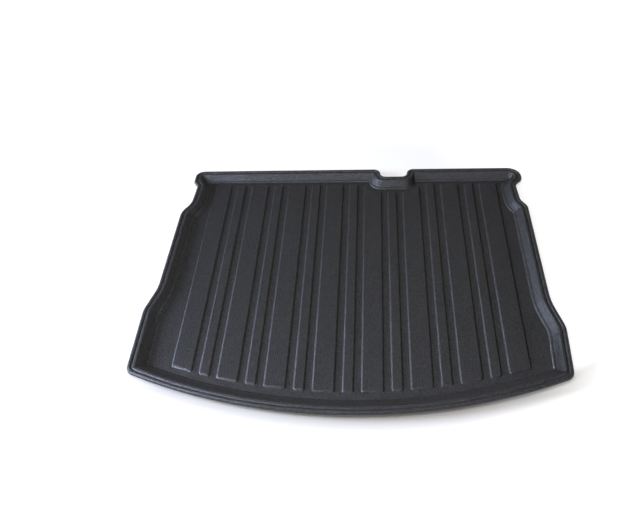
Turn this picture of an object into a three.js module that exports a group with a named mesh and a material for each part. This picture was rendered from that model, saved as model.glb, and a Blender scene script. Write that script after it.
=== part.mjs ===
// A car boot liner: one sheet of plastic formed over a mould, so every wall, rib and bead has the
// sheet's thickness and its underside follows its top. Millimetres, +Z up, the far edge (against the
// seat backs) at +Y and the curved near edge (at the tailgate) at -Y. The tray lies on its floor.
//
// The rim and walls are one section carried round the outline. The floor has raised bands along Y,
// wide and narrow in turn, and each is hollow beneath.
import * as THREE from 'three';
import { mergeVertices } from 'three/addons/utils/BufferGeometryUtils.js';

// Overall
const DEPTH = 902; // from the far edge to the middle of the near edge
const RIM_HEIGHT = 22; // top of the rim over the surface that the tray lies on
const SHEET = 3; // thickness of the formed sheet

// Half widths of the outline on each side of the bands' centre line: the boot isn't symmetric
const EAR_LEFT = 490.5; // ears at the far corners
const EAR_RIGHT = 500;
const NECK_LEFT = 476.5; // neck, where it starts behind the ear
const NECK_RIGHT = 477.5;
const NECK_LEAN = 4.5; // how far the neck leans out on its way to the step
const WAIST_LEFT = 504.5; // long straight sides, where they start at the step
const WAIST_RIGHT = 499;
const WAIST_LEAN_LEFT = 4; // how far a long side leans out on its way to the flare
const WAIST_LEAN_RIGHT = 1.5;
const FRONT_LEFT = 530; // widest part, near the tailgate
const FRONT_RIGHT = 523;
const FRONT_LEAN_LEFT = 1.5; // how far the widest part leans in on its way to the near corner
const FRONT_LEAN_RIGHT = 8;

// Lengths of the outline along Y
const EAR_LENGTH_LEFT = 52.5; // from the far edge
const EAR_LENGTH_RIGHT = 57;
const EAR_SLANT = 22; // where an ear steps in to the neck
const NECK_LENGTH_LEFT = 84;
const NECK_LENGTH_RIGHT = 74;
const STEP_SLANT_LEFT = 37; // where the neck steps out to the waist
const STEP_SLANT_RIGHT = 29;
const FLARE_SLANT_LEFT = 79; // where the waist flares out to the front
const FLARE_SLANT_RIGHT = 87;
const FRONT_LENGTH_LEFT = 200; // from the flare to the near corner
const FRONT_LENGTH_RIGHT = 151.5;
const NEAR_RADIUS = 1284; // plan radius of the near edge

// Corner radii of the outline
const EAR_RADIUS_LEFT = 27;
const EAR_RADIUS_RIGHT = 40;
const HEEL_RADIUS_LEFT = 4; // the two bends between an ear and the neck
const HEEL_RADIUS_RIGHT = 28;
const STEP_RADIUS_LEFT = 70; // the two bends between the neck and the waist
const STEP_RADIUS_RIGHT = 30;
const FLARE_RADIUS_LEFT = 160; // the soft bend from the waist into the flare
const FLARE_RADIUS_RIGHT = 222;
const FRONT_RADIUS = 94; // from the flare to the front
const NEAR_CORNER_RADIUS = 44;
const INNER_RADIUS = 4; // smallest radius of a corner, where the walls move in to it

// Notch in the far edge, for a seat catch
const NOTCH_CENTRE = 120;
const NOTCH_WIDTH = 80;
const NOTCH_DEPTH = 37;
const NOTCH_MOUTH_RADIUS = 20;
const NOTCH_ROOT_RADIUS = 16.5;

// Section of the rim and wall, from the outer lip inwards
const SKIRT_DROP = 8.4; // the outer lip, below the top of the rim
const BEAD_WIDTH = 8.2; // outer bead on top of the rim
const CREASE_WIDTH = 5.8; // V groove between the two beads
const CREASE_DEPTH = 2.6;
const LEDGE_WIDTH = 5.5; // inner bead
const LEDGE_DROP = 0.8; // inner bead, below the outer one
const WALL_RUN = 22.5; // from the inner bead to the floor, level distance
const NEAR_RUN = 29; // the same at the near edge, where the wall lies flatter
const NOTCH_LEFT_RUN = 13; // and at the two sides of the notch, where it is steeper
const NOTCH_RIGHT_RUN = 5;
const APRON_SHARE = 0.23; // part of the run taken by the small apron at the wall's foot
const STEP_SHARE = 0.11; // part of the run taken by the step from the apron to the floor
const APRON_HEIGHT = 2.6; // inner edge of the apron, over the floor
const APRON_FALL = 2; // the apron's own slope
const BEAD_RADIUS = 4;
const SHOULDER_RADIUS = 2.5;
const GROOVE_RADIUS = 0.8;
const FOOT_RADIUS = 2;

// Raised bands on the floor
const WIDE_COUNT = 8; // with a narrow band between each two
const WIDE_BAND = 54;
const NARROW_BAND = 28;
const BAND_GAP = 16;
const BAND_HEIGHT = 3.5;
const BAND_FLANK = 3; // level width of a band's sloping side
const BAND_EDGE = 1.1; // how far the rounding of a band's top edge reaches
const BAND_CORNER = 6;
const FAR_GUTTER = 13; // flat floor between the bands and the foot of the far wall
const NEAR_GUTTER = 21; // the same along the near edge

// Chords of the round stretches
const NEAR_STEPS = 22; // the near edge
const NEAR_CORNER_STEPS = 6;
const BEND_STEPS = 3; // each bend of the front, flares, steps and heels
const EAR_STEPS = 6;
const NOTCH_STEPS = 4;
const SWEEP_STEPS = 5; // the bands' cut round each side of the notch
const BAND_STEPS = 3; // a band's corner
const BEAD_STEPS = 3; // the outer bead's edge, in the section
const FOLD_STEPS = 2; // every other bend of the section

const MATERIAL = { color: 0x333338, roughness: 0.55, metalness: 0 };
const SAME_PLACE = 1e-3; // points closer than this are one point

// Plan geometry: a path is a closed list of corners { x, y, radius, steps, run }, anticlockwise seen
// from above. run is the wall's level run along the edge that starts at the corner.

function nearEdgeY(x) {
  return -DEPTH / 2 + NEAR_RADIUS - Math.sqrt(NEAR_RADIUS ** 2 - x ** 2);
}

const LEFT_SIDE = {
  ear: EAR_LEFT,
  neck: NECK_LEFT,
  waist: WAIST_LEFT,
  waistLean: WAIST_LEAN_LEFT,
  front: FRONT_LEFT,
  frontLean: FRONT_LEAN_LEFT,
  earLength: EAR_LENGTH_LEFT,
  neckLength: NECK_LENGTH_LEFT,
  stepSlant: STEP_SLANT_LEFT,
  flareSlant: FLARE_SLANT_LEFT,
  frontLength: FRONT_LENGTH_LEFT,
  earRadius: EAR_RADIUS_LEFT,
  heelRadius: HEEL_RADIUS_LEFT,
  stepRadius: STEP_RADIUS_LEFT,
  flareRadius: FLARE_RADIUS_LEFT,
};

const RIGHT_SIDE = {
  ear: EAR_RIGHT,
  neck: NECK_RIGHT,
  waist: WAIST_RIGHT,
  waistLean: WAIST_LEAN_RIGHT,
  front: FRONT_RIGHT,
  frontLean: FRONT_LEAN_RIGHT,
  earLength: EAR_LENGTH_RIGHT,
  neckLength: NECK_LENGTH_RIGHT,
  stepSlant: STEP_SLANT_RIGHT,
  flareSlant: FLARE_SLANT_RIGHT,
  frontLength: FRONT_LENGTH_RIGHT,
  earRadius: EAR_RADIUS_RIGHT,
  heelRadius: HEEL_RADIUS_RIGHT,
  stepRadius: STEP_RADIUS_RIGHT,
  flareRadius: FLARE_RADIUS_RIGHT,
};

// One side's corners, from the near edge to the far one. sign is 1 for the right side, -1 for the left.
function sideCorners(sign, side) {
  const farY = DEPTH / 2;
  const heelY = farY - side.earLength;
  const neckTopY = heelY - EAR_SLANT;
  const neckFootY = neckTopY - side.neckLength;
  const waistY = neckFootY - side.stepSlant;
  const nearX = side.front - side.frontLean;
  const nearY = nearEdgeY(nearX);
  const frontY = nearY + side.frontLength;
  const flareY = frontY + side.flareSlant;
  const at = (x, y, radius, steps) => ({ x: sign * x, y, radius, steps, run: WALL_RUN });
  return [
    at(nearX, nearY, NEAR_CORNER_RADIUS, NEAR_CORNER_STEPS),
    at(side.front, frontY, FRONT_RADIUS, BEND_STEPS),
    at(side.waist + side.waistLean, flareY, side.flareRadius, BEND_STEPS),
    at(side.waist, waistY, side.stepRadius, BEND_STEPS),
    at(side.neck + NECK_LEAN, neckFootY, side.stepRadius, BEND_STEPS),
    at(side.neck, neckTopY, side.heelRadius, BEND_STEPS),
    at(side.ear, heelY, side.heelRadius, BEND_STEPS),
    at(side.ear, farY, side.earRadius, EAR_STEPS),
  ];
}

function notchCorners() {
  const right = NOTCH_CENTRE + NOTCH_WIDTH / 2;
  const left = NOTCH_CENTRE - NOTCH_WIDTH / 2;
  const mouthY = DEPTH / 2;
  const rootY = mouthY - NOTCH_DEPTH;
  const at = (x, y, radius, run) => ({ x, y, radius, steps: NOTCH_STEPS, run });
  return [
    at(right, mouthY, NOTCH_MOUTH_RADIUS, NOTCH_RIGHT_RUN),
    at(right, rootY, NOTCH_ROOT_RADIUS, WALL_RUN),
    at(left, rootY, NOTCH_ROOT_RADIUS, NOTCH_LEFT_RUN),
    at(left, mouthY, NOTCH_MOUTH_RADIUS, WALL_RUN),
  ];
}

// The near edge, from the left corner to the right one, without the corners themselves.
function nearCorners() {
  const left = -Math.asin((FRONT_LEFT - FRONT_LEAN_LEFT) / NEAR_RADIUS);
  const right = Math.asin((FRONT_RIGHT - FRONT_LEAN_RIGHT) / NEAR_RADIUS);
  const corners = [];
  for (let i = 1; i < NEAR_STEPS; i += 1) {
    const x = NEAR_RADIUS * Math.sin(left + (right - left) * i / NEAR_STEPS);
    corners.push({ x, y: nearEdgeY(x), radius: 0, steps: 0, run: NEAR_RUN });
  }
  return corners;
}

function outline() {
  const right = sideCorners(1, RIGHT_SIDE);
  const left = sideCorners(-1, LEFT_SIDE).reverse();
  left[left.length - 1].run = NEAR_RUN;
  return [...right, ...notchCorners(), ...left, ...nearCorners()];
}

// Where two lines meet, each given by a point and a direction.
function meet(p, u, q, v) {
  const cross = u.x * v.y - u.y * v.x;
  const reach = ((q.x - p.x) * v.y - (q.y - p.y) * v.x) / cross;
  return { x: p.x + u.x * reach, y: p.y + u.y * reach };
}

// Moves each edge of a path inwards by its own distance. An edge that shrinks to nothing on the way
// leaves its two corners at one point, where its neighbours meet.
function insetPath(path, distances) {
  const n = path.length;
  const edges = path.map((a, i) => {
    const b = path[(i + 1) % n];
    const length = Math.hypot(b.x - a.x, b.y - a.y);
    const along = { x: (b.x - a.x) / length, y: (b.y - a.y) / length };
    return { x: a.x - along.y * distances[i], y: a.y + along.x * distances[i], along };
  });
  const live = edges.map(() => true);
  for (;;) {
    const corners = path.map((corner, i) => {
      let before = (i + n - 1) % n;
      let after = i;
      while (!live[before]) before = (before + n - 1) % n;
      while (!live[after]) after = (after + 1) % n;
      const from = edges[before];
      const to = edges[after];
      return { ...corner, ...meet(from, from.along, to, to.along), from: from.along, to: to.along };
    });
    const gone = edges.findIndex((edge, i) => {
      const a = corners[i];
      const b = corners[(i + 1) % n];
      return live[i] && (b.x - a.x) * edge.along.x + (b.y - a.y) * edge.along.y < 0;
    });
    if (gone < 0) return corners;
    live[gone] = false;
  }
}

function turnOf(from, to) {
  return Math.atan2(from.x * to.y - from.y * to.x, from.x * to.x + from.y * to.y);
}

// Rounds each corner of a path with its own radius, in its own number of chords. A radius is limited
// by the edges beside it.
function roundPath(corners, closed = true) {
  const n = corners.length;
  const reach = corners.map((c) => c.radius * Math.abs(Math.tan(turnOf(c.from, c.to) / 2)));
  const fit = (i, j) => {
    const length = Math.hypot(corners[j].x - corners[i].x, corners[j].y - corners[i].y);
    const need = reach[i] + reach[j];
    return need > length ? length / need : 1;
  };
  return corners.flatMap((corner, i) => {
    if (!corner.steps) return [corner];
    const before = closed || i > 0 ? fit(i, (i + n - 1) % n) : 1;
    const after = closed || i < n - 1 ? fit(i, (i + 1) % n) : 1;
    const share = Math.min(before, after);
    const turn = turnOf(corner.from, corner.to);
    const radius = corner.radius * share * Math.sign(turn);
    const start = {
      x: corner.x - corner.from.x * reach[i] * share,
      y: corner.y - corner.from.y * reach[i] * share,
    };
    const centre = { x: start.x - corner.from.y * radius, y: start.y + corner.from.x * radius };
    return Array.from({ length: corner.steps + 1 }, (unused, k) => {
      const angle = turn * k / corner.steps;
      const sin = Math.sin(angle);
      const cos = Math.cos(angle);
      return {
        ...corner,
        x: centre.x + radius * (corner.from.y * cos + corner.from.x * sin),
        y: centre.y + radius * (corner.from.y * sin - corner.from.x * cos),
      };
    });
  });
}

// Section of the rim and wall for one level run: x is the distance in from the outline, y the height.
// Each bend has a radius, and its chords on the top and on the underside of the sheet.
function sectionCorners(run) {
  const ledgeIn = BEAD_WIDTH + CREASE_WIDTH;
  const ledgeOut = ledgeIn + LEDGE_WIDTH;
  const apronIn = ledgeOut + run * (1 - APRON_SHARE - STEP_SHARE);
  const apronOut = ledgeOut + run * (1 - STEP_SHARE);
  const ledgeTop = RIM_HEIGHT - LEDGE_DROP;
  const apronTop = SHEET + APRON_HEIGHT;
  const foot = ledgeOut + run;
  const grooveX = BEAD_WIDTH + CREASE_WIDTH / 2;
  const bend = (x, y, radius = 0, over = 0, under = 0) => ({ x, y, radius, over, under });
  return [
    bend(0, RIM_HEIGHT - SKIRT_DROP),
    bend(0, RIM_HEIGHT, BEAD_RADIUS, BEAD_STEPS, FOLD_STEPS),
    bend(BEAD_WIDTH, RIM_HEIGHT, SHOULDER_RADIUS, FOLD_STEPS),
    bend(grooveX, RIM_HEIGHT - CREASE_DEPTH, GROOVE_RADIUS, 0, FOLD_STEPS),
    bend(ledgeIn, ledgeTop, SHOULDER_RADIUS, FOLD_STEPS),
    bend(ledgeOut, ledgeTop, SHOULDER_RADIUS, FOLD_STEPS),
    bend(apronIn, apronTop + APRON_FALL, FOOT_RADIUS, FOLD_STEPS),
    bend(apronOut, apronTop),
    bend(foot, SHEET, FOOT_RADIUS, FOLD_STEPS),
    bend(foot + FOOT_RADIUS, SHEET),
  ];
}

// The top of the section, or its underside: the same corners moved by the sheet's thickness.
function sectionSide(run, isUnder) {
  const corners = sectionCorners(run);
  const along = corners.slice(1).map((b, i) => {
    const a = corners[i];
    const length = Math.hypot(b.x - a.x, b.y - a.y);
    return { x: (b.x - a.x) / length, y: (b.y - a.y) / length };
  });
  const depth = isUnder ? SHEET : 0;
  const shifted = corners.map((corner, i) => {
    const from = along[Math.max(i - 1, 0)];
    const to = along[Math.min(i, along.length - 1)];
    const turn = turnOf(from, to);
    const push = depth * Math.tan(turn / 2);
    const radius = Math.max(corner.radius + depth * Math.sign(turn), 0);
    return {
      x: corner.x + from.y * depth + from.x * push,
      y: corner.y - from.x * depth + from.y * push,
      from,
      to,
      radius,
      steps: isUnder ? corner.under : corner.over,
    };
  });
  return roundPath(shifted, false);
}

// One closed loop of section points, from the floor's top out over the rim and back underneath.
function sectionLoop(run) {
  const top = sectionSide(run, false).reverse();
  const under = sectionSide(run, true);
  return [...top, ...under];
}

// A ring of the tray: the outline moved in to one point of the section. Outer corners get tighter on
// the way in and inner ones wider.
function trayRing(path, sections, index) {
  const points = path.map((corner) => sections.get(corner.run)[index]);
  const inset = insetPath(path, points.map((point) => point.x));
  const n = path.length;
  const rounded = inset.map((corner, i) => {
    const before = points[(i + n - 1) % n];
    const distance = (before.x + points[i].x) / 2;
    const isOuter = turnOf(corner.from, corner.to) > 0;
    const radius = isOuter ? Math.max(corner.radius - distance, INNER_RADIUS) : corner.radius + distance;
    return { ...corner, radius, z: (before.y + points[i].y) / 2 };
  });
  return roundPath(rounded).map(({ x, y, z }) => new THREE.Vector3(x, y, z));
}

// Where the bands end at the far side, right to left: one gutter from the foot of the far wall, swept
// round the foot of the notch.
function farLimit() {
  const ledge = BEAD_WIDTH + CREASE_WIDTH + LEDGE_WIDTH;
  const straightY = DEPTH / 2 - ledge - WALL_RUN - FAR_GUTTER;
  const radius = NOTCH_DEPTH + FAR_GUTTER;
  const centreY = straightY - NOTCH_DEPTH + radius;
  const rightX = NOTCH_CENTRE + NOTCH_WIDTH / 2 + ledge + NOTCH_RIGHT_RUN - NOTCH_DEPTH;
  const leftX = NOTCH_CENTRE - NOTCH_WIDTH / 2 - ledge - NOTCH_LEFT_RUN + NOTCH_DEPTH;
  const end = Math.acos((centreY - straightY) / radius);
  const bends = [];
  for (let k = SWEEP_STEPS; k >= 0; k -= 1) {
    const angle = end * k / SWEEP_STEPS;
    bends.push({ x: rightX + radius * Math.sin(angle), y: centreY - radius * Math.cos(angle) });
  }
  for (let k = 0; k <= SWEEP_STEPS; k += 1) {
    const angle = end * k / SWEEP_STEPS;
    bends.push({ x: leftX - radius * Math.sin(angle), y: centreY - radius * Math.cos(angle) });
  }
  const at = (x) => {
    const beside = Math.max(leftX - x, x - rightX, 0);
    if (beside >= radius) return straightY;
    return Math.min(straightY, centreY - Math.sqrt(radius ** 2 - beside ** 2));
  };
  return { bends, at };
}

// The bands' plan shapes. Their near ends follow the near edge.
function bandPaths() {
  const far = farLimit();
  const nearIn = BEAD_WIDTH + CREASE_WIDTH + LEDGE_WIDTH + NEAR_RUN + NEAR_GUTTER;
  const nearY = (x) => nearEdgeY(x) + nearIn;
  const corner = (x, y) => ({ x, y, radius: BAND_CORNER, steps: BAND_STEPS });
  const pitch = WIDE_BAND + NARROW_BAND + 2 * BAND_GAP;
  const total = (WIDE_COUNT - 1) * pitch + WIDE_BAND;
  const paths = [];
  for (let i = 0; i < 2 * WIDE_COUNT - 1; i += 1) {
    const isWide = i % 2 === 0;
    const start = Math.floor(i / 2) * pitch + (isWide ? 0 : WIDE_BAND + BAND_GAP) - total / 2;
    const end = start + (isWide ? WIDE_BAND : NARROW_BAND);
    const clear = BAND_CORNER + BAND_FLANK;
    const inner = far.bends.filter((p) => p.x > start + clear && p.x < end - clear);
    paths.push([
      corner(start, nearY(start)),
      corner(end, nearY(end)),
      corner(end, far.at(end)),
      ...inner.map((p) => ({ ...p, radius: 0, steps: 0 })),
      corner(start, far.at(start)),
    ]);
  }
  return paths;
}

function bandRing(path, inset, z) {
  const moved = insetPath(path, path.map(() => inset));
  const rounded = moved.map((corner) => {
    const radius = Math.max(corner.radius - inset, INNER_RADIUS / 2);
    return { ...corner, radius };
  });
  return roundPath(rounded).map(({ x, y }) => new THREE.Vector3(x, y, z));
}

// Faces
const same = (a, b) => a.distanceTo(b) < SAME_PLACE;

function addTriangle(faces, a, b, c) {
  if (same(a, b) || same(b, c) || same(c, a)) return;
  faces.push(a, b, c);
}

// A strip between two rings with as many points. Going from the first ring to the second, the face
// looks up where the second one lies outside the first.
function addStrip(faces, first, second) {
  first.forEach((a, i) => {
    const j = (i + 1) % first.length;
    addTriangle(faces, a, second[i], second[j]);
    addTriangle(faces, a, second[j], first[j]);
  });
}

// Where another point lies on an edge of a triangle, the triangle is split there, so that neighbours
// share whole edges. A triangle is a list of three places in the list of points.
function splitAtPoints(triangles, points) {
  const onEdge = (a, b) => {
    const length = a.distanceTo(b);
    return points.findIndex((p) => {
      const along = ((p.x - a.x) * (b.x - a.x) + (p.y - a.y) * (b.y - a.y)) / length;
      const beside = ((p.x - a.x) * (b.y - a.y) - (p.y - a.y) * (b.x - a.x)) / length;
      return Math.abs(beside) < SAME_PLACE && along > SAME_PLACE && along < length - SAME_PLACE;
    });
  };
  const open = [...triangles];
  const whole = [];
  while (open.length) {
    const triangle = open.pop();
    const hits = triangle.map((i, k) => onEdge(points[i], points[triangle[(k + 1) % 3]]));
    const k = hits.findIndex((hit) => hit >= 0);
    if (k < 0) {
      whole.push(triangle);
    } else {
      const [i, j, far] = [triangle[k], triangle[(k + 1) % 3], triangle[(k + 2) % 3]];
      open.push([i, hits[k], far], [hits[k], j, far]);
    }
  }
  return whole;
}

// A flat face inside a ring, with holes.
function addFlat(faces, ring, holes, looksUp) {
  const clean = (points) => points.filter((p, i) => !same(p, points[(i + 1) % points.length]));
  const contours = [clean(ring), ...holes.map((hole) => clean(hole).reverse())];
  const points = contours.flat();
  const flat = contours.map((contour) => contour.map((p) => new THREE.Vector2(p.x, p.y)));
  const heightOf = ([i, j, k]) => {
    const [a, b, c] = [points[i], points[j], points[k]];
    const longest = Math.max(a.distanceTo(b), b.distanceTo(c), c.distanceTo(a));
    return ((b.x - a.x) * (c.y - a.y) - (b.y - a.y) * (c.x - a.x)) / longest;
  };
  const triangles = THREE.ShapeUtils.triangulateShape(flat[0], flat.slice(1));
  const solid = triangles.filter((triangle) => Math.abs(heightOf(triangle)) > SAME_PLACE);
  splitAtPoints(solid, points).forEach((triangle) => {
    const [i, j, k] = heightOf(triangle) > 0 === looksUp ? triangle : [...triangle].reverse();
    addTriangle(faces, points[i], points[j], points[k]);
  });
}

// Adds one band's top and the hollow beneath it, and returns the two rings where they meet the floor.
function addBand(faces, path) {
  const lean = Math.atan2(BAND_HEIGHT, BAND_FLANK);
  const underIn = SHEET * Math.tan(lean / 2);
  const edgeDrop = BAND_EDGE * Math.tan(lean / 2);
  const crown = SHEET + BAND_HEIGHT;
  const base = bandRing(path, 0, SHEET);
  const shoulderIn = BAND_FLANK - edgeDrop / Math.tan(lean);
  const shoulder = bandRing(path, shoulderIn, crown - edgeDrop);
  const top = bandRing(path, BAND_FLANK + BAND_EDGE, crown);
  addStrip(faces, shoulder, base);
  addStrip(faces, top, shoulder);
  addFlat(faces, top, [], true);
  const underBase = bandRing(path, underIn, 0);
  const underTop = bandRing(path, underIn + BAND_FLANK, BAND_HEIGHT);
  addStrip(faces, underBase, underTop);
  addFlat(faces, underTop, [], false);
  return { base, underBase };
}

function linerGeometry() {
  const path = outline();
  const runs = [WALL_RUN, NEAR_RUN, NOTCH_LEFT_RUN, NOTCH_RIGHT_RUN];
  const sections = new Map(runs.map((run) => [run, sectionLoop(run)]));
  const rings = sections.get(WALL_RUN).map((point, index) => trayRing(path, sections, index));
  const faces = [];
  rings.slice(1).forEach((ring, i) => addStrip(faces, rings[i], ring));
  const bands = bandPaths().map((band) => addBand(faces, band));
  addFlat(faces, rings[0], bands.map((band) => band.base), true);
  addFlat(faces, rings[rings.length - 1], bands.map((band) => band.underBase), false);
  const geometry = new THREE.BufferGeometry().setFromPoints(faces);
  return mergeVertices(geometry, SAME_PLACE);
}

const liner = new THREE.Mesh(linerGeometry(), new THREE.MeshStandardMaterial(MATERIAL));
liner.name = 'boot_liner';
liner.geometry.computeBoundingBox();
const { min, max } = liner.geometry.boundingBox;
liner.position.x = -(min.x + max.x) / 2; // the origin is in the middle of the width
const group = new THREE.Group();
group.add(liner);
export default group;
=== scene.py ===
# %% [markdown]
# # A car boot liner in black plastic
#
# A boot liner is one sheet of plastic. The sheet is heated until it is soft, drawn down over a mould and
# trimmed, so every bend, bead and band in it has the same thickness, and the underside follows the top.
# This lesson makes that sheet as one closed mesh, in metres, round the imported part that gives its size.

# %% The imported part
import math

import bmesh
import bpy
from mathutils import Matrix, Vector
from mathutils.geometry import delaunay_2d_cdt


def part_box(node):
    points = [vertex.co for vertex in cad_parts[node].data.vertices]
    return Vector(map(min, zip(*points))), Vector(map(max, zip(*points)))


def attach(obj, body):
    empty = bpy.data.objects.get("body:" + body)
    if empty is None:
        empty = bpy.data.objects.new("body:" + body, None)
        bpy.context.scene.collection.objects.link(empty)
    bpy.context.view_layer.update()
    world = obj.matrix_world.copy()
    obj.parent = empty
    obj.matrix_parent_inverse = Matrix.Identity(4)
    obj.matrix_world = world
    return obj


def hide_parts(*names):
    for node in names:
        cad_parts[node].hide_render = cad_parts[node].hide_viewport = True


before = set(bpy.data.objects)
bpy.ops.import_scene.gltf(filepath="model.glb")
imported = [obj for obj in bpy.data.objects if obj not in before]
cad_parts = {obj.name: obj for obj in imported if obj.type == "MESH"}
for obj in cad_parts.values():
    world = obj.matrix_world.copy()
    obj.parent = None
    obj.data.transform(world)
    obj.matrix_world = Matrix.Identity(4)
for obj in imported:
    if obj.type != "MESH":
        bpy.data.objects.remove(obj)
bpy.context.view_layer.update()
low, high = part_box("boot_liner")
MM = 0.001
DEPTH = high.y - low.y
RIM_HEIGHT = high.z - low.z
print("packed pieces:", len(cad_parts))
print("the packed liner measures", [round(side / MM, 1) for side in high - low], "mm")

# %% [markdown]
# ## The outline
#
# Seen from above, the liner follows the boot that it lies in: ears at the seat backs, a neck behind each,
# a step out to the long sides, a flare to the widest part and one long curve along the tailgate. It could
# be drawn as a curve by hand. Here it is a list of corners, each with its own radius, because the wall
# has to be moved in from it again and again, and straight edges with round corners do that cleanly.

# %% Sizes of the outline
# Half widths are from the middle of the bands. The boot isn't symmetric, so each side has its own values.
LEFT_SIDE = {
    "ear": 490.5 * MM, "neck": 476.5 * MM, "waist": 504.5 * MM, "front": 530 * MM,
    "waist_lean": 4 * MM, "front_lean": 1.5 * MM,
    "ear_length": 52.5 * MM, "neck_length": 84 * MM, "step_slant": 37 * MM,
    "flare_slant": 79 * MM, "front_length": 200 * MM,
    "ear_radius": 27 * MM, "heel_radius": 4 * MM, "step_radius": 70 * MM, "flare_radius": 160 * MM,
}
RIGHT_SIDE = {
    "ear": 500 * MM, "neck": 477.5 * MM, "waist": 499 * MM, "front": 523 * MM,
    "waist_lean": 1.5 * MM, "front_lean": 8 * MM,
    "ear_length": 57 * MM, "neck_length": 74 * MM, "step_slant": 29 * MM,
    "flare_slant": 87 * MM, "front_length": 151.5 * MM,
    "ear_radius": 40 * MM, "heel_radius": 28 * MM, "step_radius": 30 * MM, "flare_radius": 222 * MM,
}
EAR_SLANT, NECK_LEAN = 22 * MM, 4.5 * MM
FRONT_RADIUS, NEAR_CORNER_RADIUS = 94 * MM, 44 * MM
NEAR_RADIUS = 1284 * MM
front_width = LEFT_SIDE["front"] + RIGHT_SIDE["front"]
print("widest part:", round(front_width / MM), "mm, before its corners are rounded")

# %% Corners of one side
WALL_RUN = 22.5 * MM  # how far the wall runs in, level, from rim to floor


def near_edge(x):
    """How far back the curved edge lies at x."""
    return -DEPTH / 2 + NEAR_RADIUS - math.sqrt(NEAR_RADIUS**2 - x**2)


def corner(x, y, radius, run=WALL_RUN):
    """A corner of the outline. run is the wall's, on the edge that starts here."""
    return {"at": complex(x, y), "radius": radius, "run": run}


def side_corners(sign, side):
    """One side's corners, from the near edge to the far one. sign is 1 on the right and -1 on the left."""
    heel = DEPTH / 2 - side["ear_length"]
    neck_top = heel - EAR_SLANT
    neck_foot = neck_top - side["neck_length"]
    near_x = side["front"] - side["front_lean"]
    front = near_edge(near_x) + side["front_length"]
    flare_x = side["waist"] + side["waist_lean"]
    return [
        corner(sign * near_x, near_edge(near_x), NEAR_CORNER_RADIUS),
        corner(sign * side["front"], front, FRONT_RADIUS),
        corner(sign * flare_x, front + side["flare_slant"], side["flare_radius"]),
        corner(sign * side["waist"], neck_foot - side["step_slant"], side["step_radius"]),
        corner(sign * (side["neck"] + NECK_LEAN), neck_foot, side["step_radius"]),
        corner(sign * side["neck"], neck_top, side["heel_radius"]),
        corner(sign * side["ear"], heel, side["heel_radius"]),
        corner(sign * side["ear"], DEPTH / 2, side["ear_radius"]),
    ]


print(len(side_corners(1, RIGHT_SIDE)), "corners on each side")

# %% [markdown]
# ## The notch and the near edge
#
# The far edge goes round the seat catch in a notch, which could be cut out of the finished sheet. But the
# real rim follows the notch, so the notch is part of the outline, and its walls are steeper than the
# others to save room. The near edge is one long arc. It is many short edges here, so that it can be moved
# in by the same rule as the straight ones.

# %% The whole outline
NOTCH_CENTRE, NOTCH_WIDTH, NOTCH_DEPTH = 120 * MM, 80 * MM, 37 * MM
NOTCH_MOUTH_RADIUS, NOTCH_ROOT_RADIUS = 20 * MM, 16.5 * MM
NOTCH_LEFT_RUN, NOTCH_RIGHT_RUN = 13 * MM, 5 * MM
NEAR_RUN = 29 * MM
NEAR_STEPS = 64


def notch_corners():
    right, left = NOTCH_CENTRE + NOTCH_WIDTH / 2, NOTCH_CENTRE - NOTCH_WIDTH / 2
    mouth = DEPTH / 2
    root = mouth - NOTCH_DEPTH
    return [
        corner(right, mouth, NOTCH_MOUTH_RADIUS, NOTCH_RIGHT_RUN),
        corner(right, root, NOTCH_ROOT_RADIUS),
        corner(left, root, NOTCH_ROOT_RADIUS, NOTCH_LEFT_RUN),
        corner(left, mouth, NOTCH_MOUTH_RADIUS),
    ]


def near_corners():
    """The points of the curved edge between its two ends."""
    first = -math.asin((LEFT_SIDE["front"] - LEFT_SIDE["front_lean"]) / NEAR_RADIUS)
    last = math.asin((RIGHT_SIDE["front"] - RIGHT_SIDE["front_lean"]) / NEAR_RADIUS)
    angles = [first + (last - first) * i / NEAR_STEPS for i in range(1, NEAR_STEPS)]
    places = [NEAR_RADIUS * math.sin(angle) for angle in angles]
    return [corner(x, near_edge(x), 0, NEAR_RUN) for x in places]


def liner_outline():
    right = side_corners(1, RIGHT_SIDE)
    left = side_corners(-1, LEFT_SIDE)[::-1]
    left[-1]["run"] = NEAR_RUN
    return right + notch_corners() + left + near_corners()


outline = liner_outline()
print(len(outline), "corners in the outline")

# %% [markdown]
# ## Moving an outline in
#
# On the mould each edge of the wall has its own slope, so the wall's foot isn't one even margin in from
# the rim. A point is a complex number here: multiplying a direction by 1j turns it by a right angle, which
# keeps the moving of edges short. Each edge moves in by its own distance, and its corners are found again
# where neighbouring edges meet. An edge that gets used up on the way drops out.

# %% Moving edges in


def cross(a, b):
    return a.real * b.imag - a.imag * b.real


def turn_between(before, after):
    return math.atan2(cross(before, after), before.real * after.real + before.imag * after.imag)


def move_in(points, distances):
    """Each edge moved in by its distance. Returns each corner's place, and the directions beside it."""
    n = len(points)
    along = [(points[(i + 1) % n] - points[i]) / abs(points[(i + 1) % n] - points[i]) for i in range(n)]
    start = [points[i] + 1j * along[i] * distances[i] for i in range(n)]
    live = [True] * n
    while True:
        found = []
        for i in range(n):
            before, after = (i - 1) % n, i
            while not live[before]:
                before = (before - 1) % n
            while not live[after]:
                after = (after + 1) % n
            u, v = along[before], along[after]
            reach = cross(start[after] - start[before], v) / cross(u, v)
            found.append((start[before] + u * reach, u, v))
        used_up = [
            i for i in range(n)
            if live[i] and ((found[(i + 1) % n][0] - found[i][0]) * along[i].conjugate()).real < 0
        ]
        if not used_up:
            return found
        live[used_up[0]] = False


TRY_MARGIN = 0.1
square = [0, 1, 1 + 1j, 1j]
smaller_square = move_in(square, [TRY_MARGIN] * len(square))
print(f"a square moved in by {TRY_MARGIN} has its first corner at {smaller_square[0][0]:.1f}")

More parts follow.
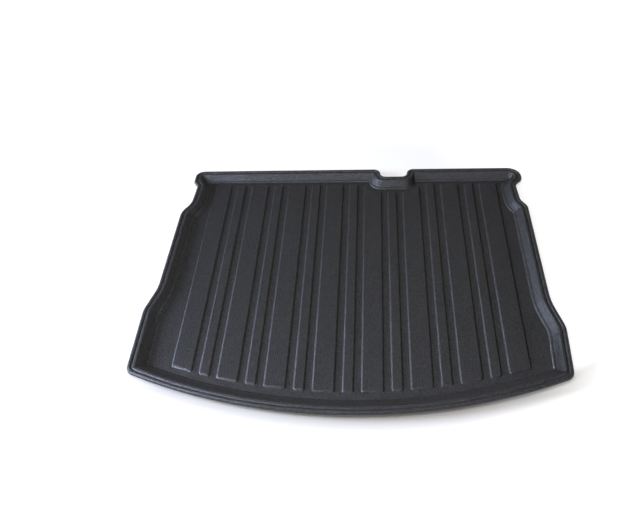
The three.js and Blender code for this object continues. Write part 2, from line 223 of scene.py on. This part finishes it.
# %% [markdown]
# ## Round corners
#
# A bevel modifier could round the corners, but its width is the same everywhere or needs a weight on each
# edge. Here each corner is an arc of its own radius, in a given number of chords. Where two arcs would
# need more of an edge than it has, both give way by the same share.

# %% Rounding corners


def round_corners(found, radii, chords, closed=True):
    """Rounds each corner in its own number of chords. A radius is limited by the edges beside it."""
    n = len(found)
    reach = [r * abs(math.tan(turn_between(u, v) / 2)) for (at, u, v), r in zip(found, radii)]

    def share(i, j):
        length = abs(found[j][0] - found[i][0])
        return min(1, length / (reach[i] + reach[j])) if reach[i] + reach[j] > 0 else 1

    points = []
    for i, (at, u, v) in enumerate(found):
        if not chords[i]:
            points.append((at, i))
            continue
        before = share(i, (i - 1) % n) if closed or i > 0 else 1
        after = share(i, (i + 1) % n) if closed or i < n - 1 else 1
        keep = min(before, after)
        turn = turn_between(u, v)
        centre = at - u * reach[i] * keep + 1j * u * math.copysign(radii[i] * keep, turn)
        arm = at - u * reach[i] * keep - centre
        for k in range(chords[i] + 1):
            angle = turn * k / chords[i]
            points.append((centre + arm * complex(math.cos(angle), math.sin(angle)), i))
    return points


def line_directions(points):
    """The directions before and after each point of an open line. An end has one, twice."""
    n = len(points)
    along = [(points[i + 1] - points[i]) / abs(points[i + 1] - points[i]) for i in range(n - 1)]
    return [(along[max(i - 1, 0)], along[min(i, n - 2)]) for i in range(n)]


def rounded_line(line, corner_chords):
    """An open line with round corners. Each of its points is a distance in, a height and a radius."""
    points = [complex(x, y) for x, y, radius in line]
    found = [(at, u, v) for at, (u, v) in zip(points, line_directions(points))]
    radii = [radius for x, y, radius in line]
    chords = [0] + [corner_chords] * (len(line) - 2) + [0]
    return [at for at, i in round_corners(found, radii, chords, closed=False)]


TRY_CHORDS = 3
rounded_square = round_corners(smaller_square, [TRY_MARGIN] * len(square), [TRY_CHORDS] * len(square))
print("with its corners rounded the square has", len(rounded_square), "points")

# %% [markdown]
# ## The section of the rim
#
# A cut through the rim shows one folded line: a short skirt, a rounded bead, a V groove, a second bead,
# the slope of the wall, a small apron at its foot and the floor. The line could be two curves bridged by
# a solidify modifier, but a modifier thins the sheet at sharp bends. Here the underside is the same line
# moved by the sheet's thickness, with its own radii, so both sides are drawn as the mould gives them.

# %% The top of the folded line
SHEET = 3 * MM
SKIRT_DROP = 8.4 * MM
BEAD_WIDTH, CREASE_WIDTH, LEDGE_WIDTH = 8.2 * MM, 5.8 * MM, 5.5 * MM
LEDGE_END = BEAD_WIDTH + CREASE_WIDTH + LEDGE_WIDTH
CREASE_DEPTH, LEDGE_DROP = 2.6 * MM, 0.8 * MM
APRON_SHARE, STEP_SHARE = 0.23, 0.11  # parts of the wall's run
APRON_HEIGHT, APRON_FALL = 2.6 * MM, 2 * MM
BEAD_RADIUS, CROWN_RADIUS, SHOULDER_RADIUS = 4.6 * MM, 5 * MM, 3 * MM
GROOVE_RADIUS = 0.8 * MM
FOOT_RADIUS, APRON_RADIUS = 3.5 * MM, 2.5 * MM
TRIM_RADIUS = 0.5 * MM  # the cut edge of the sheet, slightly blunt
FLAT = 2 * MM  # a strip beside a bend that keeps the shading of the bend off the flat


def rim_line(run):
    """Corners of the top of the sheet, from the trimmed lip to the floor: distance in, height, radius."""
    apron_in = LEDGE_END + run * (1 - APRON_SHARE - STEP_SHARE)
    apron_out = LEDGE_END + run * (1 - STEP_SHARE)
    ledge_top = RIM_HEIGHT - LEDGE_DROP
    return [
        (0, RIM_HEIGHT - SKIRT_DROP, TRIM_RADIUS),
        (0, RIM_HEIGHT, BEAD_RADIUS),
        (BEAD_WIDTH, RIM_HEIGHT, CROWN_RADIUS),
        (BEAD_WIDTH + CREASE_WIDTH / 2, RIM_HEIGHT - CREASE_DEPTH, GROOVE_RADIUS),
        (BEAD_WIDTH + CREASE_WIDTH, ledge_top, CROWN_RADIUS),
        (LEDGE_END, ledge_top, SHOULDER_RADIUS),
        (apron_in, SHEET + APRON_HEIGHT + APRON_FALL, FOOT_RADIUS),
        (apron_out, SHEET + APRON_HEIGHT, APRON_RADIUS),
        (LEDGE_END + run, SHEET, FOOT_RADIUS),
        (LEDGE_END + run + 2 * FLAT, SHEET, 0),
    ]


print(len(rim_line(WALL_RUN)), "corners along the top of the sheet")

# %% Both sides of the sheet
SHARPEST = 0.4 * MM  # the sheet can't bend round less than this
FOLD_CHORDS = 4


def under_line(line):
    """The underside of a folded line: each corner moved by the sheet's thickness."""
    points = [complex(x, y) for x, y, radius in line]
    under = []
    for at, (u, v), (x, y, radius) in zip(points, line_directions(points), line):
        turn = turn_between(u, v)
        place = at - 1j * u * SHEET + u * SHEET * math.tan(turn / 2)
        under.append((place.real, place.imag, max(radius + math.copysign(SHEET, turn), SHARPEST)))
    return under


def folded_section(line):
    """The whole cut through the sheet: along the top to the lip, round the trimmed edge, and back."""
    under = under_line(line)
    under[0] = (under[0][0], under[0][1], TRIM_RADIUS)
    return rounded_line(line[::-1] + under, FOLD_CHORDS)


all_runs = (WALL_RUN, NEAR_RUN, NOTCH_LEFT_RUN, NOTCH_RIGHT_RUN)
sections = {run: folded_section(rim_line(run)) for run in all_runs}
print(len(sections[WALL_RUN]), "points in the section")

# %% [markdown]
# ## Rings round the liner
#
# Each point of the section is one ring round the whole liner. The outline is moved in by that point's
# distance and lifted to its height. Outer corners get tighter on the way in and inner corners wider, as
# they do in a drawn sheet. Each corner keeps its number of chords, so that rings can be joined one to one.

# %% The rings
INNER_RADIUS = 4 * MM
FEWEST_CHORDS = 4
CORNER_TURN = math.radians(9)  # one chord of a corner
outline_points = [c["at"] for c in outline]
outline_turns = [turn_between(u, v) for at, u, v in move_in(outline_points, [0] * len(outline))]
outline_chords = []
for place, turn in zip(outline, outline_turns):
    chords = max(FEWEST_CHORDS, math.ceil(abs(turn) / CORNER_TURN))
    outline_chords.append(chords if place["radius"] else 0)


def ring(index):
    """One ring round the liner, through this point of every edge's section."""
    cut = [sections[c["run"]][index] for c in outline]
    found = move_in(outline_points, [point.real for point in cut])
    depths = [(cut[i - 1].real + cut[i].real) / 2 for i in range(len(cut))]
    radii = [
        max(c["radius"] - depth, INNER_RADIUS) if turn > 0 else c["radius"] + depth
        for c, turn, depth in zip(outline, outline_turns, depths)
    ]
    heights = [(cut[i - 1].imag + cut[i].imag) / 2 for i in range(len(cut))]
    return [Vector((at.real, at.imag, heights[i])) for at, i in round_corners(found, radii, outline_chords)]


rings = [ring(index) for index in range(len(sections[WALL_RUN]))]
print(len(rings), "rings of", len(rings[0]), "points")

# %% [markdown]
# ## Where the raised bands lie
#
# Wide and narrow bands run from back to front, pressed up from the floor and hollow beneath, which makes
# the sheet stiff and keeps luggage off spilt water. Their near ends follow the curved edge, and the bands
# beside the notch end on an arc round its foot. Boxes cut by booleans would give the same plan, but with
# stray edges. So each band's plan is a list of corners, as the outline is.

# %% Where bands end at the far side
BAND_GUTTER_FAR, BAND_GUTTER_NEAR = 13 * MM, 21 * MM
SWEEP_CHORDS = 14


def far_limit():
    """Where bands end at the far side: a gutter from the wall's foot, swept round the notch's foot."""
    straight = DEPTH / 2 - LEDGE_END - WALL_RUN - BAND_GUTTER_FAR
    radius = NOTCH_DEPTH + BAND_GUTTER_FAR
    centre = straight - NOTCH_DEPTH + radius
    right = NOTCH_CENTRE + NOTCH_WIDTH / 2 + LEDGE_END + NOTCH_RIGHT_RUN - NOTCH_DEPTH
    left = NOTCH_CENTRE - NOTCH_WIDTH / 2 - LEDGE_END - NOTCH_LEFT_RUN + NOTCH_DEPTH
    end = math.acos((centre - straight) / radius)
    angles = [end * k / SWEEP_CHORDS for k in range(SWEEP_CHORDS + 1)]
    bends = [complex(right + radius * math.sin(a), centre - radius * math.cos(a)) for a in angles[::-1]]
    bends += [complex(left - radius * math.sin(a), centre - radius * math.cos(a)) for a in angles]

    def at(x):
        beside = max(left - x, x - right, 0)
        if beside >= radius:
            return straight
        return min(straight, centre - math.sqrt(radius**2 - beside**2))

    return bends, at


sweep, far_end = far_limit()
print("the bands end", round((DEPTH / 2 - far_end(0)) / MM, 1), "mm from the far edge")

# %% Plan shapes of the bands
WIDE_COUNT = 8
WIDE_BAND, NARROW_BAND, BAND_GAP = 54 * MM, 28 * MM, 16 * MM
BAND_HEIGHT, BAND_FLANK = 3.5 * MM, 3 * MM
BAND_CORNER = 6 * MM


def band_plans():
    """Each band's corners, and which of them are rounded."""
    near_in = LEDGE_END + NEAR_RUN + BAND_GUTTER_NEAR
    pitch = WIDE_BAND + NARROW_BAND + 2 * BAND_GAP
    first = -((WIDE_COUNT - 1) * pitch + WIDE_BAND) / 2
    clear = BAND_CORNER + BAND_FLANK
    found = []
    for i in range(2 * WIDE_COUNT - 1):
        wide = i % 2 == 0
        start = first + i // 2 * pitch + (0 if wide else WIDE_BAND + BAND_GAP)
        end = start + (WIDE_BAND if wide else NARROW_BAND)
        swept = [b for b in sweep if start + clear < b.real < end - clear]
        ends = [complex(start, near_edge(start) + near_in), complex(end, near_edge(end) + near_in)]
        points = ends + [complex(end, far_end(end))] + swept + [complex(start, far_end(start))]
        sharp = [True] * 3 + [False] * len(swept) + [True]
        found.append((points, sharp))
    return found


plans = band_plans()
print(len(plans), "bands")

# %% [markdown]
# ## The flank of a band
#
# A bevelled box for each band would hide the hollow beneath it. So a band is rings again, each moved in
# from its plan: a flank with a tight foot and a softer top edge, which catches the light as a bright line.
# The hollow has the same flank, one sheet thickness lower, with the two radii the other way round.

# %% Flanks above and below the sheet
BAND_FOOT_RADIUS, BAND_EDGE_RADIUS = 1.5 * MM, 4 * MM
LEAST_CORNER = 2 * MM
BAND_CHORDS, EDGE_CHORDS = 5, 4
band_top = SHEET + BAND_HEIGHT
top_line = [
    (-FLAT, SHEET, 0),
    (0, SHEET, BAND_FOOT_RADIUS),
    (BAND_FLANK, band_top, BAND_EDGE_RADIUS),
    (BAND_FLANK + 2 * FLAT, band_top, 0),
]
lean = math.atan2(BAND_HEIGHT, BAND_FLANK)
under_in = SHEET * math.tan(lean / 2)
hollow_line = [
    (under_in - FLAT, 0, 0),
    (under_in, 0, BAND_EDGE_RADIUS),
    (under_in + BAND_FLANK, BAND_HEIGHT, BAND_FOOT_RADIUS),
    (under_in + BAND_FLANK + FLAT, BAND_HEIGHT, 0),
]
flank_top = rounded_line(top_line, EDGE_CHORDS)
flank_under = rounded_line(hollow_line, EDGE_CHORDS)


def band_ring(plan, inset, height):
    points, sharp = plan
    found = move_in(points, [inset] * len(points))
    radii = [max(BAND_CORNER - inset, LEAST_CORNER) if s else 0 for s in sharp]
    chords = [BAND_CHORDS if s else 0 for s in sharp]
    return [Vector((at.real, at.imag, height)) for at, i in round_corners(found, radii, chords)]


print(len(flank_top), "points up a band's flank, and", len(flank_under), "in the hollow beneath")

# %% [markdown]
# ## Faces
#
# Between two rings the faces are quads, side by side. The floor is one flat face with fifteen holes, which
# no single face can be, so a constrained triangulation fills it and keeps every ring edge as it is.

# %% Joining rings, and filling flat faces
TRIANGLES_INSIDE = 1  # what the triangulation returns
SAME_PLACE = 1e-9
TOO_CLOSE = 0.0001 * MM  # points nearer than this to each other are taken as one


class SheetMesh:
    """Points and faces of the sheet, as they are added."""

    def __init__(self):
        self.points = []
        self.faces = []

    def add_ring(self, ring_points):
        first = len(self.points)
        self.points.extend(ring_points)
        return list(range(first, first + len(ring_points)))

    def add_strip(self, first, second):
        n = len(first)
        for i in range(n):
            j = (i + 1) % n
            self.faces.append([first[i], second[i], second[j], first[j]])

    def add_strips(self, ring_list):
        numbers = [self.add_ring(ring_points) for ring_points in ring_list]
        for first, second in zip(numbers, numbers[1:]):
            self.add_strip(first, second)
        return numbers[0], numbers[-1]

    def fill(self, outer, holes=()):
        """A flat face inside a ring of points. What lies in a hole is left out."""
        numbers = []
        loops = []
        for loop in [outer, *holes]:
            steps = [(self.points[k] - self.points[loop[i - 1]]).length for i, k in enumerate(loop)]
            kept = [k for k, step in zip(loop, steps) if step > TOO_CLOSE]
            loops.append(list(range(len(numbers), len(numbers) + len(kept))))
            numbers += kept
        flat = [self.points[k].to_2d() for k in numbers]
        filled = delaunay_2d_cdt(flat, [], loops, TRIANGLES_INSIDE, SAME_PLACE)
        triangles, first_points, inside_loops = filled[2], filled[3], filled[5]
        for face, inside in zip(triangles, inside_loops):
            if max(inside) == 0:  # inside the outer ring, which is the first loop, and in no hole
                self.faces.append([numbers[first_points[k][0]] for k in face])


sheet = SheetMesh()
floor_ring, bottom_ring = sheet.add_strips(rings)
print(len(sheet.faces), "faces in the rim and wall")

# %% [markdown]
# ## The whole sheet
#
# The rim and the bands meet in two flat faces: the floor's top, round the feet of the bands, and its
# underside, round the hollows. Points that lie on each other are merged, and then every edge has to lie
# between two faces, which shows that the sheet is closed.

# %% The bands and the floor
band_feet, hollow_feet = [], []
for plan in plans:
    foot, top = sheet.add_strips([band_ring(plan, at.real, at.imag) for at in flank_top])
    sheet.fill(top)
    band_feet.append(foot)
    hollow_foot, hollow_top = sheet.add_strips([band_ring(plan, at.real, at.imag) for at in flank_under])
    sheet.fill(hollow_top)
    hollow_feet.append(hollow_foot)
sheet.fill(floor_ring, band_feet)
sheet.fill(bottom_ring, hollow_feet)
print(len(sheet.faces), "faces with the bands and the floor")

# %% The liner
MERGE = 0.001 * MM
sides = [point.x for point in sheet.points]
to_middle = Vector((-(min(sides) + max(sides)) / 2, 0, 0))  # from the bands' middle to the liner's
mesh = bpy.data.meshes.new("liner_sheet")
mesh.from_pydata([point + to_middle for point in sheet.points], [], sheet.faces)
work = bmesh.new()
work.from_mesh(mesh)
bmesh.ops.remove_doubles(work, verts=work.verts, dist=MERGE)
bmesh.ops.dissolve_degenerate(work, edges=work.edges, dist=TOO_CLOSE)
bmesh.ops.recalc_face_normals(work, faces=work.faces)
open_edges = [edge for edge in work.edges if len(edge.link_faces) != 2]
work.to_mesh(mesh)
work.free()
mesh.shade_smooth()
liner = bpy.data.objects.new("liner_sheet", mesh)
bpy.context.scene.collection.objects.link(liner)
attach(liner, "root")
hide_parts("boot_liner")
print(len(mesh.polygons), "faces,", len(open_edges), "open edges")

# %% [markdown]
# ## Nodes in one line each
#
# A material is a tree of nodes. In the shader editor each node is added, set and linked by hand, and in
# Python that takes several lines for each. The helper here adds one node, feeds each of its inputs either
# a plain value or another node's output, and returns its outputs, so that a tree reads like a formula.

# %% Node helpers


def added(tree, kind, inputs, **settings):
    """Adds a node to a tree, with its settings and inputs. Returns its outputs."""
    node = tree.nodes.new(kind)
    for name, setting in settings.items():
        setattr(node, name, setting)
    for key, value in inputs.items():
        if isinstance(value, bpy.types.NodeSocket):
            tree.links.new(value, node.inputs[key])
        else:
            node.inputs[key].default_value = value
    return node.outputs


def combined(tree, first, second, operation):
    return added(tree, "ShaderNodeMath", {0: first, 1: second}, operation=operation)[0]


def ranged(tree, source, range_in, range_out):
    """Carries one range of values over to another, and keeps what lies outside at the ends."""
    (low_in, high_in), (low_out, high_out) = range_in, range_out
    bounds_in = {"From Min": low_in, "From Max": high_in}
    bounds_out = {"To Min": low_out, "To Max": high_out}
    return added(tree, "ShaderNodeMapRange", {"Value": source, **bounds_in, **bounds_out})["Result"]


plastic = bpy.data.materials.new("grained_black_plastic")
plastic.use_nodes = True
grain = plastic.node_tree
print("a new material starts with the nodes", [node.name for node in grain.nodes])

# %% [markdown]
# ## The plastic
#
# The sheet is near-black and has a pebble grain, pressed into it by the mould. The grain is too fine for
# geometry on a piece a metre wide, so it is a bump of small round pebbles. Each pebble also gets its own
# random shade and its own gloss. Its colour also carries painted light: a painted highlight on its top
# and painted shade in the pits between the pebbles.

# %% The relief of the grain
CENTIMETRE = 10 * MM
PEBBLE, RELIEF = 2.0 * MM, 1.0 * MM
PEBBLE_BLEND = 0.15  # how softly pebbles run into each other
shader = grain.nodes["Principled BSDF"]
spot = added(grain, "ShaderNodeTexCoord", {})["Object"]
pebble_settings = {"Vector": spot, "Scale": 1 / PEBBLE, "Smoothness": PEBBLE_BLEND}
pebbles = added(grain, "ShaderNodeTexVoronoi", pebble_settings, feature="SMOOTH_F1")
relief_settings = {"Height": pebbles["Distance"], "Strength": 1.0, "Distance": RELIEF}
relief = added(grain, "ShaderNodeBump", relief_settings, invert=True)["Normal"]
grain.links.new(relief, shader.inputs["Normal"])
print("about", round((CENTIMETRE / PEBBLE) ** 2), "pebbles to the square centimetre")

# %% Shade and gloss of each pebble, with a painted highlight on its top and painted shade round it
BLACK = (0.0180, 0.0172, 0.0163)
# Painted light on the grain: the middle of each pebble is painted lighter and its edge, towards the pits,
# darker.
PEAK_TO_PIT = (0.1, 0.7)  # distances from a pebble's middle, in pebbles
PAINTED_PEAK_AND_PIT_SHADES = (1.35, 0.65)  # the shades there, as parts of the black
OWN_SHADES = (0.35, 1.65)
ROUGHNESS, SHEEN = (0.32, 0.52), (0.4, 1.0)
CLOUD = 70 * MM  # the size of fainter changes of shade from handling
CLOUD_LEVELS, CLOUD_SHADES = (0.3, 0.7), (0.94, 1.06)
FULL = (0, 1)
own = added(grain, "ShaderNodeSeparateColor", {"Color": pebbles["Color"]})
clouds = added(grain, "ShaderNodeTexNoise", {"Vector": spot, "Scale": 1 / CLOUD})["Fac"]
# Painted highlight and painted shade: lighter at each pebble's top and darker in the pit round it, as light
# and shade would fall there.
painted_pebble_light = ranged(grain, pebbles["Distance"], PEAK_TO_PIT, PAINTED_PEAK_AND_PIT_SHADES)
shades = combined(grain, painted_pebble_light, ranged(grain, own["Red"], FULL, OWN_SHADES), "MULTIPLY")
shades = combined(grain, shades, ranged(grain, clouds, CLOUD_LEVELS, CLOUD_SHADES), "MULTIPLY")
tint = added(grain, "ShaderNodeVectorMath", {0: BLACK, "Scale": shades}, operation="SCALE")["Vector"]
grain.links.new(tint, shader.inputs["Base Color"])
grain.links.new(ranged(grain, own["Green"], FULL, ROUGHNESS), shader.inputs["Roughness"])
grain.links.new(ranged(grain, own["Blue"], FULL, SHEEN), shader.inputs["Specular IOR Level"])
mesh.materials.append(plastic)
print(len(grain.nodes), "nodes in the plastic")

# %% [markdown]
# ## The floor
#
# The liner lies on a white floor with a soft shadow beside its near edge. A white paint would turn grey
# where the lamps fade, and more lamps would wash out the liner. So the paint is a light grey, tinted
# against the bluish lamps, which is dark enough to show the shadow, and a glow lifts the rest to white.
# Only rays that look at the floor see the glow, so it never lights the plastic.

# %% The floor plane
FLOOR_HALF = 60  # metres, so that the floor's end lies near the horizon
FLOOR_DROP = 0.2 * MM  # the floor lies just under the liner, so that their faces don't fight
floor_mesh = bpy.data.meshes.new("studio_floor")
signs = ((-1, -1), (1, -1), (1, 1), (-1, 1))
floor_mesh.from_pydata([(x * FLOOR_HALF, y * FLOOR_HALF, -FLOOR_DROP) for x, y in signs], [], [(0, 1, 2, 3)])
studio_floor = bpy.data.objects.new("studio_floor", floor_mesh)
bpy.context.scene.collection.objects.link(studio_floor)
print("the floor is", 2 * FLOOR_HALF, "m wide")

# %% How much the floor glows, from place to place
# Each rise is a range of distances in metres, and the levels at its two ends.
BESIDE_CURVE = ((0, 0.04), (0, 0.50))  # out from the near edge, so that its shadow stays soft
PAST_LINER = ((0.56, 0.70), (0, 0.50))  # from the middle, where the liner's own shadow ends
OUTWARD = ((0.6, 1.5), (0, 0.8))  # from the middle, where the lamps fade
RIGHTWARD = ((0.25, 0.62), (0, 0.30))  # to the right, away from the main lamp
white = bpy.data.materials.new("white_floor")
white.use_nodes = True
ground = white.node_tree
ground.nodes.clear()
spot = added(ground, "ShaderNodeTexCoord", {})["Object"]
from_middle = added(ground, "ShaderNodeVectorMath", {0: spot}, operation="LENGTH")["Value"]
to_right = added(ground, "ShaderNodeSeparateXYZ", {0: spot})["X"]
curve_centre = to_middle + Vector((0, NEAR_RADIUS - DEPTH / 2, 0))
to_centre = added(ground, "ShaderNodeVectorMath", {0: spot, 1: curve_centre}, operation="DISTANCE")["Value"]
from_curve = combined(ground, to_centre, NEAR_RADIUS, "SUBTRACT")
either_side = added(ground, "ShaderNodeMath", {0: from_curve}, operation="ABSOLUTE")[0]
beside = ranged(ground, either_side, *BESIDE_CURVE)
rise = combined(ground, beside, ranged(ground, from_middle, *PAST_LINER), "MAXIMUM")
rise = combined(ground, rise, ranged(ground, from_middle, *OUTWARD), "ADD")
rise = combined(ground, rise, ranged(ground, to_right, *RIGHTWARD), "ADD")
print(len(ground.nodes), "nodes set the floor's glow")

# %% [markdown]
# ## A glow that only looking rays see
#
# Rays that carry light from face to face are diffuse ones. Camera, glossy and transmission rays are the
# ones that look, straight or by way of a shine or glass, and the light path node tells them apart. The
# floor is also open from below, so that the underside of the liner can be looked at.

# %% The floor's material
PAINT = (0.55, 0.53, 0.48, 1)


def looked_at(tree):
    """1 for rays that look, and 0 for rays that only carry light."""
    path = added(tree, "ShaderNodeLightPath", {})
    looking = combined(tree, path["Is Camera Ray"], path["Is Glossy Ray"], "MAXIMUM")
    return combined(tree, looking, path["Is Transmission Ray"], "MAXIMUM")


glow_level = combined(ground, looked_at(ground), rise, "MULTIPLY")
glow = added(ground, "ShaderNodeEmission", {"Color": (1, 1, 1, 1), "Strength": glow_level})[0]
paint = added(ground, "ShaderNodeBsdfDiffuse", {"Color": PAINT})[0]
both = added(ground, "ShaderNodeAddShader", {0: paint, 1: glow})[0]
from_below = added(ground, "ShaderNodeNewGeometry", {})["Backfacing"]
open_view = added(ground, "ShaderNodeBsdfTransparent", {})[0]
one_way = added(ground, "ShaderNodeMixShader", {0: from_below, 1: both, 2: open_view})[0]
added(ground, "ShaderNodeOutputMaterial", {"Surface": one_way})
floor_mesh.materials.append(white)
print("the floor's paint is", PAINT[:3])

# %% [markdown]
# ## Light
#
# In the photograph the walls and band edges that face left are bright, and those that face right are dark,
# so the main light is a wide, soft one from the left, low down. A weaker one from the front left and one
# from above fill in, and a very weak one from beyond the far edge gives the far ends of the bands their
# sheen. A faint grey room keeps the folds from going black, and looking rays alone see a white haze at its
# horizon, where the floor ends. A lamp's watts are set from the light wanted on a face turned to it: a
# white face under level 1 renders as white.

# %% The room
ROOM_LEVEL, ROOM_COLOUR = 0.055, (0.95, 0.97, 1.0, 1)
HAZE = ((0.09, 0.12), (1, 0))  # heights of direction between which the white horizon fades out
room = bpy.data.worlds.new("studio")
bpy.context.scene.world = room
room.use_nodes = True
air = room.node_tree
facing = added(air, "ShaderNodeTexCoord", {})["Generated"]
upward = added(air, "ShaderNodeSeparateXYZ", {0: facing})["Z"]
haze = combined(air, looked_at(air), ranged(air, upward, *HAZE), "MULTIPLY")
sky = air.nodes["Background"]
sky.inputs["Color"].default_value = ROOM_COLOUR
air.links.new(combined(air, haze, ROOM_LEVEL, "ADD"), sky.inputs["Strength"])
print("level of the room:", ROOM_LEVEL)

# %% The lamps
LAMP_AWAY, LAMP_SIZE, SMALL_LAMP = 2.6, 1.3, 0.8  # metres


def soft_lamp(name, compass, height, level, colour, size=LAMP_SIZE):
    """A round lamp that faces the liner. compass turns from the right, height up from the floor, degrees."""
    turn, lift = math.radians(compass), math.radians(height)
    towards = Vector((math.cos(turn) * math.cos(lift), math.sin(turn) * math.cos(lift), math.sin(lift)))
    light = bpy.data.lights.new(name, "AREA")
    light.shape = "DISK"
    light.size = size
    light.energy = level * (math.pi * LAMP_AWAY) ** 2
    light.color = colour
    lamp = bpy.data.objects.new(name, light)
    lamp.location = towards * LAMP_AWAY
    lamp.rotation_euler = towards.to_track_quat("Z", "Y").to_euler()
    bpy.context.scene.collection.objects.link(lamp)
    return level * math.sin(lift)


on_floor = [
    soft_lamp("left_light", 186, 17, 2.3, (0.63, 0.72, 1.0), SMALL_LAMP),
    soft_lamp("front_left_light", 225, 50, 0.28, (1.0, 0.96, 0.90)),
    soft_lamp("top_light", 270, 68, 0.52, (0.87, 0.88, 1.0)),
    soft_lamp("far_light", 90, 32, 0.07, (1.0, 0.98, 0.95)),
]
print("level of the lamps on the floor:", round(sum(on_floor), 2))

# %% [markdown]
# ## The camera
#
# The photograph's camera was worked out from lines that are known on the liner: the parallel bands, the
# straight far edge and the curved near one. Its place is given from the middle of the bands. Its three
# turns build its axes one after the other, which is easier to check than three Euler angles.

# %% Camera
CAMERA_PLACE = to_middle + Vector((63.08, -1432.0, 1408.72)) * MM
YAW, PITCH, ROLL = -0.10011, 0.75524, -0.0718  # radians
LENS, SENSOR = 42.44, 36  # millimetres
forward = Vector((math.sin(YAW) * math.cos(PITCH), math.cos(YAW) * math.cos(PITCH), -math.sin(PITCH)))
level_right = Vector((math.cos(YAW), -math.sin(YAW), 0))
level_up = level_right.cross(forward)
right = level_right * math.cos(ROLL) + level_up * math.sin(ROLL)
up = level_up * math.cos(ROLL) - level_right * math.sin(ROLL)
turned = Matrix((right, up, -forward)).transposed()
lens = bpy.data.cameras.new("camera")
lens.lens = LENS
lens.sensor_width = SENSOR
camera = bpy.data.objects.new("camera", lens)
camera.matrix_world = Matrix.Translation(CAMERA_PLACE) @ turned.to_4x4()
bpy.context.scene.collection.objects.link(camera)
bpy.context.scene.camera = camera
bpy.context.scene.view_settings.view_transform = "Standard"
print("the camera looks down by", round(math.degrees(PITCH), 1), "degrees")
